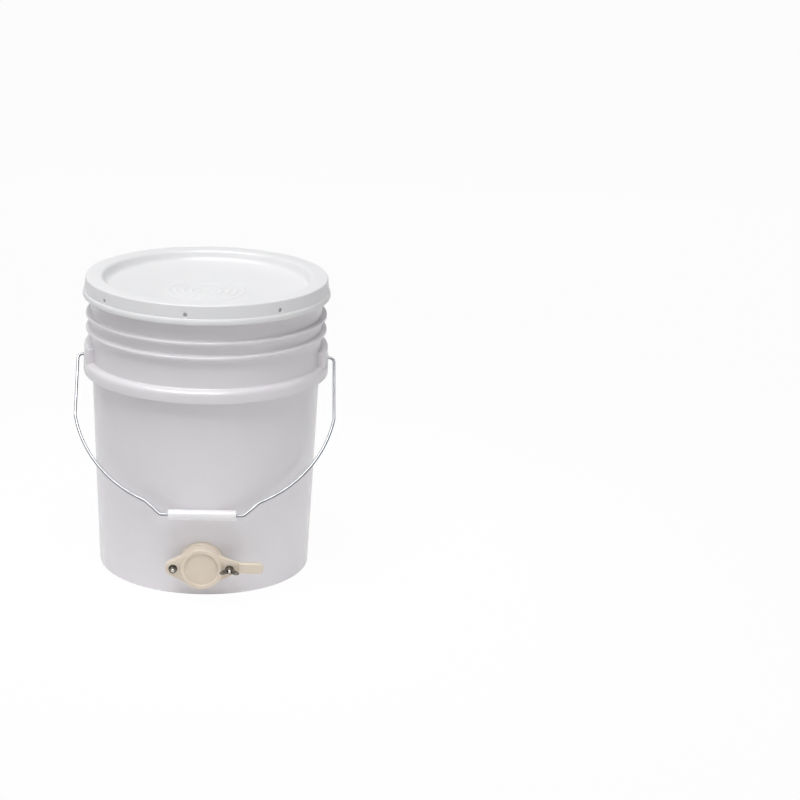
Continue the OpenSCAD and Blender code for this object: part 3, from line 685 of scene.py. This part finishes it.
class HONEY_OT_lid(bpy.types.Operator):
    """Moulds the lid with its sunk panel, ring pattern, flared skirt, hem and vents, and the seal under it"""

    bl_idname = "honey.lid"
    bl_label = "Lid"

    def execute(self, context):
        s, pail = sizes(context, "lid"), sizes(context, "pail")
        white = look("lid")
        neck, land = pail.neck / 2, s.top - 2.5
        body = turned(rounded(self.outline(s, neck - pail.wall - 0.6, land)), steps=216)
        vent, start, end = s.vent / 2, 2.9, 10
        sink = vent + 0.9
        drill = turned([(0, 0), (vent, 0), (vent, start), (sink, start + 1), (sink, end), (0, end)], 32)
        drill = moved(drill, Matrix.Translation((neck + 4.2, 0, s.vent_z)) @ SIDEWAYS)
        first = math.radians(270 - 8.4)
        holes = grown(ring_tree(), {"Count": s.vents, "First": first, "Material": white}, drill)
        finished("lid_moulding", cut(body, holes), white, "lid", "lid_plastic", "lid")
        inner, outer, edge = neck - 2.3, neck + BEAD_OUT, 0.8
        seal = ringed([(inner, pail.height, edge), (outer, pail.height, edge), (outer, land, edge),
                       (inner, land, edge)])
        finished("lid_seal", seal, look("seal"), "lid", "seal_rubber", "lid_gasket")
        return {"FINISHED"}

    @staticmethod
    def outline(s, leg, land):
        """Half section: panel with its rings, land, skirt, hem, and back along the underside and its leg."""
        hem, skirt, recess = s.hem_d / 2, s.skirt_d / 2, s.recess_d / 2
        low, flat, thick = s.panel - s.dish, 57.8, 2.2
        mark, crest, leg_low = low + 0.5, low + 0.8, land - 9
        inside, leg_in = skirt + 0.1, leg - thick
        first, pitch, count = 19, 9.7, 4
        line = [(0, mark, 0), (3, mark, 0.3), (3.8, low, 0.3)]
        for k in range(count):
            ring = first + k * pitch
            line += [(ring - 2.4, low, 1.2), (ring - 0.9, crest, 0.8),
                     (ring + 0.9, crest, 0.8), (ring + 2.4, low, 1.2)]
        return line + [
            (flat, low, 60), (recess - 3.6, s.panel, 9), (recess + 0.3, s.top, 4.5), (skirt, s.top, 1.8),
            (skirt + 1.5, s.hem_high + 0.4, 0.5), (hem - 1.3, s.hem_high, 0.4),
            (hem - 0.2, s.hem_high - 2.4, 2.5), (hem, s.hem_low + 2, 4), (hem, s.hem_low, 1.2),
            (inside, s.hem_low, 0.6), (inside, s.hem_high, 0.5), (skirt - 2, land, 0.8), (leg, land, 0.6),
            (leg, leg_low, 0.7), (leg_in, leg_low, 0.7), (leg_in, land, 0.8), (recess + 2.2, land, 1.5),
            (recess - 1.6, s.panel - thick, 8), (flat, low - thick, 60), (0, low - thick, 0)]


class HONEY_OT_bail(bpy.types.Operator):
    """Bends the bail's wire and moulds the grip that turns on it"""

    bl_idname = "honey.bail"
    bl_label = "Bail"

    def execute(self, context):
        s = sizes(context, "bail")
        zinc = look("zinc")
        path = self.path(s)
        seed = bpy.data.meshes.new("path")
        seed.from_pydata(path, [(i, i + 1) for i in range(len(path) - 1)], [])
        wire = grown(wire_tree(), {"Radius": s.wire / 2, "Sides": 24, "Material": zinc}, seed)
        ends = []
        for side in (-1, 1):
            head = turned(rounded([(0, 0, 0), (3.3, 0, 0.5), (3.3, 1.6, 0.5), (0, 1.6, 0)]), 32)
            ends.append(moved(head, Matrix.Translation((side * PIN_IN, 0, PIN_Z))
                              @ Matrix.Rotation(side * math.pi / 2, 4, "Y")))
        finished("bail_wire_bent", joined(wire, *ends), zinc, "bail", "zinc_wire", "bail_wire", sharp=50)
        half, radius, bore = s.grip_l / 2, s.grip_d / 2, s.wire / 2 + 0.1
        grip = ringed([(bore, -half, 0.3), (radius, -half, 1.5), (radius, half, 1.5), (bore, half, 0.3)], 64)
        place = Matrix.Translation((0, -s.grip_out, s.grip_z)) @ Matrix.Rotation(-self.tilt(s), 4, "X")
        grip = moved(grip, place @ SIDEWAYS)
        finished("grip_moulding", grip, look("grip"), "grip", "grip_plastic", "bail_grip")
        return {"FINISHED"}

    @staticmethod
    def tilt(s):
        """Angle between the hanging bail and straight down."""
        return math.atan2(s.grip_out, PIN_Z - s.grip_z)

    def path(self, s):
        """Middle line of the wire from ear to ear: its sweep ends at the hand, its legs take up the reach."""
        def travel(heading, turn, radius):
            first, last = math.radians(heading), math.radians(heading + turn)
            way = radius * (1 if turn > 0 else -1)
            return Vector((math.sin(last) - math.sin(first), math.cos(first) - math.cos(last))) * way

        def ahead(heading, run):
            return Vector((math.cos(math.radians(heading)), math.sin(math.radians(heading)))) * run

        # Bends at the ear, shoulder, sweep, knuckle and hand, with the straight run before each. The sweep's
        # radius and the leg's run are worked out from what is left over.
        turns, radii = (90, 12, 53, -18, 43), [6, 8, 0, 14, 5]
        headings = [sum(turns[:i]) for i in range(len(turns))]
        seam, last_run, hand = 1, 22, 7.5
        runs = [s.leg_x - PIN_IN - radii[0], 0, seam, seam, last_run]
        start = Vector((PIN_IN, 0))
        end = Vector((s.grip_l / 2 + hand, s.reach))

        def left_over():
            bends = zip(headings, turns, radii, runs)
            return end - sum((travel(h, t, r) + ahead(h, run) for h, t, r, run in bends), start)

        radii[2] = left_over().x / travel(headings[2], turns[2], 1).x
        runs[1] = left_over().y
        here, line = start, [start]
        for heading, turn, radius, run in zip(headings, turns, radii, runs):
            here = here + ahead(heading, run)
            steps = max(8, int(abs(turn) / 3))
            line += [here + travel(heading, turn * k / steps, radius) for k in range(steps + 1)]
            here = line[-1]
        tilt = self.tilt(s)
        right = [Vector((p.x, -p.y * math.sin(tilt), PIN_Z - p.y * math.cos(tilt))) for p in line]
        left = [Vector((-p.x, p.y, p.z)) for p in reversed(right)]
        return right + left


class HONEY_OT_gate_body(bpy.types.Operator):
    """Moulds the outlet's body with its threaded spigot and the ring nut, and colours the two seals"""

    bl_idname = "honey.gate_body"
    bl_label = "Outlet body"

    def execute(self, context):
        s = sizes(context, "gate")
        cream, rubber = look("gate"), look("seal")
        bore, spigot, flange = s.bore / 2, s.spigot / 2, s.flange / 2
        core, barrel = spigot - 0.6, spigot + 3.2
        back, front, lug_back = SEAT_OUT - 15.9, SEAT_OUT - HAIR, SEAT_OUT - 6
        body = ringed([
            (bore, SPIGOT_IN, 0.6), (core, SPIGOT_IN, 0.6), (core, back, 0.2), (flange, back, 0.7),
            (flange, back + 4.4, 1.2), (barrel, back + 4.8, 0.6), (barrel, front, 1.2), (bore, front, 0.7)])
        lugs = plate([lug_line(s, both=True), circle(bore + 1)], lug_back, SEAT_OUT - 1.5 * HAIR, 0.7)
        pitch, turns, thread_in = 2.5, 6.0, 119
        thread = grown(thread_tree(), {"Radius": spigot - 0.7, "Pitch": pitch, "Turns": turns,
                                       "Depth": 0.75, "Material": cream})
        thread = moved(thread, Matrix.Translation((0, 0, thread_in)))
        finished("gate_body_moulding", moved(joined(body, lugs, thread), outward()), cream, "bucket",
                 "gate_plastic", "gate_body")
        nut_reach, nut_in, nut_out = 33.486, 119.878, 129.87
        corners = [(p.x, p.y, 2) for p in on_arc((0, 0), nut_reach, 0, 300, 5)]
        nut = plate([rounded(corners, closed=True), circle(spigot + 0.2)], nut_in, nut_out, 0.8)
        finished("ring_nut_moulding", moved(nut, outward()), cream, "bucket", "gate_plastic", "gate_lock_nut")
        for node in ("gate_outer_gasket", "gate_inner_gasket"):
            dress(node, rubber)
        return {"FINISHED"}


def lug_line(s, both=False):
    """Outline of the seat's disc with its pivot lug, and the clamp lug too where both are asked for."""
    seat, lug, bolt = s.seat / 2, s.lug, s.bolt_x
    # Degrees: where the lug's flank leaves the disc, and how far each arc runs past that place.
    lean = math.degrees(math.acos((seat - lug) / bolt)) * 0.80
    past_lug, past_disc, short = 6, 4, 5
    side = on_arc((bolt, 0), lug, -lean - past_lug, lean + past_lug, 20)
    disc = on_arc((0, 0), seat, lean - past_disc, 180 - lean + past_disc, 40)
    plain = on_arc((0, 0), seat, short - lean, lean - short, 24)
    return (side if both else plain) + disc + [-p for p in side] + [-p for p in disc]


class HONEY_OT_gate_blade(bpy.types.Operator):
    """Moulds the swinging blade: disc with its raised rim, pivot lug, slotted neck and lever"""

    bl_idname = "honey.gate_blade"
    bl_label = "Gate blade"

    def execute(self, context):
        s, cream = sizes(context, "gate"), look("gate")
        seat, low, high = s.seat / 2, s.lever_lift - s.lever_w / 2, s.lever_lift + s.lever_w / 2
        start, end, x, slot = s.lever_start, s.lever_end, s.bolt_x, 2.85
        front, edge, neck_end = SEAT_OUT + s.blade, 0.8, end - 6
        # The neck joins the disc to the lever, and is slotted from below for the clamp bolt. Its sides stand a
        # trace outside the lever's, because faces in one plane show as a dark line.
        trace = 1e-4
        neck = rounded([
            (15.6, 18.6, 0), (start + 1, high + trace, 7), (neck_end, high + trace, 0),
            (neck_end, low - trace, 0), (start, low - trace, 8), (x + slot - 0.2, -6.2, edge),
            *[(p.x, p.y, 0) for p in on_arc((x, 0), slot, 0, 180, 12)],
            (x - slot - 0.4, -7.6, edge), (21, -10.3, 0)], closed=True)
        disc = plate([lug_line(s)], SEAT_OUT, front, edge)
        bridge = plate([neck], SEAT_OUT + HAIR, front - HAIR, edge)
        lever = rounded([(start, low, 1.5), (end, low, 4), (end, high, 4), (start, high, 1.5)], closed=True)
        bar = plate([lever], SEAT_OUT, SEAT_OUT + s.lever_t, 1.6, 3)
        top, foot, inside = front + s.rim, SEAT_OUT + 1, seat - s.rim_w
        rim = ringed([(seat, foot, 0.5), (seat, top, 1.7), (inside, top, 1.1), (inside, front - 0.3, 0.2),
                      (inside - 1, foot, 0)])
        finished("gate_blade_moulding", moved(joined(disc, bridge, bar, rim), outward()), cream, "gate",
                 "gate_plastic", "gate_blade")
        return {"FINISHED"}


class HONEY_OT_fasteners(bpy.types.Operator):
    """Makes the bolts with their threads, the washers, the pivot nut and the wing nut"""

    bl_idname = "honey.fasteners"
    bl_label = "Fasteners"

    def execute(self, context):
        s, gate = sizes(context, "fastener"), sizes(context, "gate")
        steel, dull = look("steel"), look("forged")
        x, face, radius = gate.bolt_x, SEAT_OUT + gate.blade, s.bolt / 2
        core, tip_r, turns = radius - 0.35, radius - 0.9, 13.0
        head_low, head_high, shank_low = SEAT_OUT - 7, SEAT_OUT - 3.5, SEAT_OUT - 3.6
        for name, side, end, node in (("pivot_bolt_turned", -1, 7.7, "pivot_bolt"),
                                      ("clamp_bolt_turned", 1, 8.5, "clamp_bolt")):
            tip = face + end
            shank = turned(rounded([(0, shank_low, 0), (core, shank_low, 0), (core, tip - 0.5, 0),
                                    (tip_r, tip, 0.1), (0, tip, 0)]), 40)
            thread = grown(thread_tree(), {"Radius": radius - 0.4, "Pitch": s.pitch, "Turns": turns,
                                           "Depth": 0.38, "Material": steel})
            thread = moved(thread, Matrix.Translation((0, 0, tip - 0.7 - turns * s.pitch)))
            bolt = joined(shank, thread, self.hexagon(s.flats, head_low, head_high))
            finished(name, moved(bolt, outward(side * x)), steel, "bucket", "fastener_steel", node)
        inner, outer, top = radius + 0.15, s.washer / 2, face + 1
        for name, side, node, body in (("pivot_washer_pressed", -1, "pivot_washer", "bucket"),
                                       ("clamp_washer_pressed", 1, "clamp_washer", "clamp_washer")):
            ring = ringed([(inner, face, 0.15), (outer, face, 0.15), (outer, top, 0.3), (inner, top, 0.2)], 64)
            finished(name, moved(ring, outward(side * x)), dull, body, "fastener_steel", node)
        dress("pivot_spring_washer", dull)
        nut = self.hexagon(s.flats, face + 2.2, face + 6.2)
        finished("pivot_nut_turned", moved(nut, outward(-x)), dull, "bucket", "fastener_steel", "pivot_nut")
        bore, hub_top = radius + 0.05, top + 6
        hub = ringed([(bore, top, 0.1), (4.8, top, 0.4), (3.7, hub_top, 0.6), (bore, hub_top, 0.3)], 48)
        wings = [self.wing(s, top, turn) for turn in (0, math.pi)]
        finished("wing_nut_forged", moved(joined(hub, *wings), outward(x)), dull, "wing_nut",
                 "fastener_steel", "wing_nut")
        return {"FINISHED"}

    @staticmethod
    def hexagon(flats, low, high):
        """A hexagon across its flats with its corners chamfered round at both ends."""
        outline = on_arc((0, 0), flats / 2 / math.cos(math.pi / 6), 0, 300, 5)
        chamfer, round_end, parts = 0.5, flats / 2 * 1.005, 6
        shape = bmesh.new()
        rows = []
        for height, at_end in ((low, True), (low + chamfer, False), (high - chamfer, False), (high, True)):
            row = []
            for k, corner in enumerate(outline):
                for j in range(parts):
                    p = corner.lerp(outline[(k + 1) % len(outline)], j / parts)
                    if at_end:
                        p = p.normalized() * min(p.length, round_end)
                    row.append(shape.verts.new((p.x, p.y, height)))
            rows.append(row)
        for below, above in zip(rows, rows[1:]):
            for k in range(len(below)):
                n = (k + 1) % len(below)
                shape.faces.new((below[k], below[n], above[n], above[k]))
        shape.faces.new(rows[0])
        shape.faces.new(rows[-1])
        return to_mesh(shape)

    @staticmethod
    def wing(s, foot, turn):
        """One wing: a flat forged ear that leans out and up from the hub, thicker towards its root."""
        tip_r, root_r, half, past = 3, 2.4, 1.4, 92
        tip, root = Vector((s.wing_span / 2 - tip_r, s.wing_h - tip_r)), Vector((2.9, 3.4))
        lean = math.degrees(math.atan2(tip.y - root.y, tip.x - root.x))
        line = on_arc(tip, tip_r, lean - past, lean + past, 16)
        line += on_arc(root, root_r, lean + past, lean + 360 - past, 8)
        wing = plate([line], -half, half, 0.9)
        for v in wing.vertices:
            near = min(1, max(0, (tip.x - v.co.x) / (tip.x - root.x)))
            v.co.z *= 0.85 + 1.5 * near ** 1.5
        upright = Matrix.Rotation(turn, 4, "Z") @ Matrix.Rotation(math.pi / 2, 4, "X")
        return moved(wing, Matrix.Translation((0, 0, foot)) @ upright)


class HONEY_OT_stage(bpy.types.Operator):
    """Sets the pale floor, the soft studio light and the camera"""

    bl_idname = "honey.stage"
    bl_label = "Stage"

    def execute(self, context):
        context.scene.view_settings.view_transform = "Standard"
        self.floor(context)
        self.room(context.scene)
        target, low_target = (0, 0, 0.2), (0, 0, 0.02)
        self.lamp("Overhead softbox", (-0.3, -0.95, 3.1), target, 1.8, 64)
        self.lamp("Highlight strip", (-0.6, -1.0, 3.0), target, 3.0, 80, depth=0.55, lit=False)
        self.lamp("Low right card", (0.95, -0.85, 0.06), low_target, 0.6, 3.0, mirrored=False)
        self.lamp("Low left card", (-0.95, -0.85, 0.06), low_target, 0.6, 1.6, mirrored=False)
        self.lamp("Rear card", (0.3, 2.2, 0.7), target, 1.5, 9, mirrored=False)
        self.camera(context.scene)
        return {"FINISHED"}

    def room(self, scene):
        """A white room whose fill, and what gloss mirrors of it, falls off to the right."""
        scene.world = bpy.data.worlds.new("Studio")
        scene.world.use_nodes = True
        tree = scene.world.node_tree
        tree.nodes.clear()
        way = add(tree, "ShaderNodeSeparateXYZ", {0: add(tree, "ShaderNodeTexCoord").outputs["Generated"]})
        dim = spread(tree, way.outputs["X"], -0.7, 0.7, 0.38, 0.26)
        fill = add(tree, "ShaderNodeBackground", {"Color": (0.98, 0.98, 1.0, 1.0), "Strength": dim})
        graded = spread(tree, way.outputs["X"], -0.5, 0.5, 1.0, 0.4)
        bright = maths(tree, "MAXIMUM", add(tree, "ShaderNodeLightPath").outputs["Is Camera Ray"], graded)
        white = add(tree, "ShaderNodeBackground", {"Color": (1.0, 1.0, 1.0, 1.0), "Strength": bright})
        both = add(tree, "ShaderNodeMixShader", {0: self.seen(tree), 1: fill.outputs[0], 2: white.outputs[0]})
        add(tree, "ShaderNodeOutputWorld", {0: both.outputs[0]})

    @staticmethod
    def camera(scene):
        """The camera at the photograph's viewing angle, for a picture of 800 by 800 pixels."""
        back, height, aim_z = 2.815653, 1.091549, 0.19
        yaw, roll = math.radians(1.1), 0.011
        picture, axis_x, axis_y = 800, 205.3, 418.24
        eye = Matrix.Rotation(yaw, 3, "Z") @ Vector((0, -back, height))
        ahead = (Vector((0, 0, aim_z)) - eye).normalized()
        right = ahead.cross(Vector((0, 0, 1))).normalized()
        up = right.cross(ahead)
        across = math.cos(roll) * right + math.sin(roll) * up
        upright = math.cos(roll) * up - math.sin(roll) * right
        data = bpy.data.cameras.new("Camera")
        data.sensor_width = 36
        data.lens = 103.065
        data.shift_x = (picture / 2 - axis_x) / picture
        data.shift_y = (axis_y - picture / 2) / picture
        turn = Matrix((across, upright, -ahead)).transposed().to_4x4()
        scene.camera = placed("Camera", data)
        scene.camera.matrix_world = Matrix.Translation(eye) @ turn

    @staticmethod
    def seen(tree):
        """One where the camera, a reflection or a view through glass meets the surface."""
        path = add(tree, "ShaderNodeLightPath").outputs
        mirror = maths(tree, "MAXIMUM", path["Is Camera Ray"], path["Is Glossy Ray"])
        return maths(tree, "MAXIMUM", mirror, path["Is Transmission Ray"])

    def floor(self, context):
        """A wide pale floor that reads as white, with the pail's shadow left on it."""
        material, tree, place = new_material("Pale studio floor")
        # The floor's matt colour is a painted pool of light: full under the pail and darkening away from it,
        # so that the light it throws on the wall fades upwards.
        away = add(tree, "ShaderNodeVectorMath", {0: place}, operation="LENGTH").outputs["Value"]
        painted_light_pool = spread(tree, away, 0.4, 1.2, 1.0, 0.2)
        colour = blend(tree, painted_light_pool, (0.0, 0.0, 0.0, 1.0), linear(context.scene.pail_finishes.floor))
        matt = add(tree, "ShaderNodeBsdfDiffuse", {"Color": colour})
        white = add(tree, "ShaderNodeEmission", {"Color": (1.0, 1.0, 1.0, 1.0), "Strength": 1.0})
        share = maths(tree, "MULTIPLY", self.seen(tree), 0.97)
        both = add(tree, "ShaderNodeMixShader", {0: share, 1: matt.outputs[0], 2: white.outputs[0]})
        show(tree, both)
        mesh = bpy.data.meshes.new("floor")
        mesh.from_pydata([(-8, -8, 0), (8, -8, 0), (8, 8, 0), (-8, 8, 0)], [], [(0, 1, 2, 3)])
        mesh.materials.append(material)
        floor = placed("floor", mesh)

    @staticmethod
    def lamp(name, place, aim, width, power, depth=None, mirrored=True, lit=True):
        """One softbox that looks at a point: seen or not in gloss, and lighting matt surfaces or not."""
        data = bpy.data.lights.new(name, "AREA")
        data.shape = "RECTANGLE"
        data.size, data.size_y = width, depth or width
        data.energy = power
        lamp = placed(name, data)
        lamp.location = place
        lamp.visible_camera = False
        lamp.visible_glossy = mirrored
        lamp.visible_diffuse = lit
        lamp.rotation_euler = (Vector(aim) - Vector(place)).to_track_quat("-Z", "Y").to_euler()


STEPS = (HONEY_OT_stage, HONEY_OT_pail, HONEY_OT_lid, HONEY_OT_bail, HONEY_OT_gate_body, HONEY_OT_gate_blade,
         HONEY_OT_fasteners)


class HONEY_PT_panel(bpy.types.Panel):
    """Lists the pail's pieces, sizes and colours"""

    bl_idname = "HONEY_PT_panel"
    bl_label = "Honey Pail"
    bl_space_type = "VIEW_3D"
    bl_region_type = "UI"
    bl_category = "Honey Pail"

    def draw(self, context):
        for step in STEPS:
            self.layout.operator(step.bl_idname)
        for group, kind in GROUPS.items():
            box = self.layout.box()
            for key in kind.__annotations__:
                box.prop(getattr(context.scene, group), key)


def register():
    for kind in (*GROUPS.values(), *STEPS, HONEY_PT_panel):
        bpy.utils.register_class(kind)
    for group, kind in GROUPS.items():
        setattr(bpy.types.Scene, group, PointerProperty(type=kind))


def unregister():
    for group in GROUPS:
        delattr(bpy.types.Scene, group)
    for kind in (HONEY_PT_panel, *STEPS, *GROUPS.values()):
        bpy.utils.unregister_class(kind)


def main():
    register()
    for step in STEPS:
        area, verb = step.bl_idname.split(".")
        getattr(getattr(bpy.ops, area), verb)()


if __name__ == "__main__":
    main()
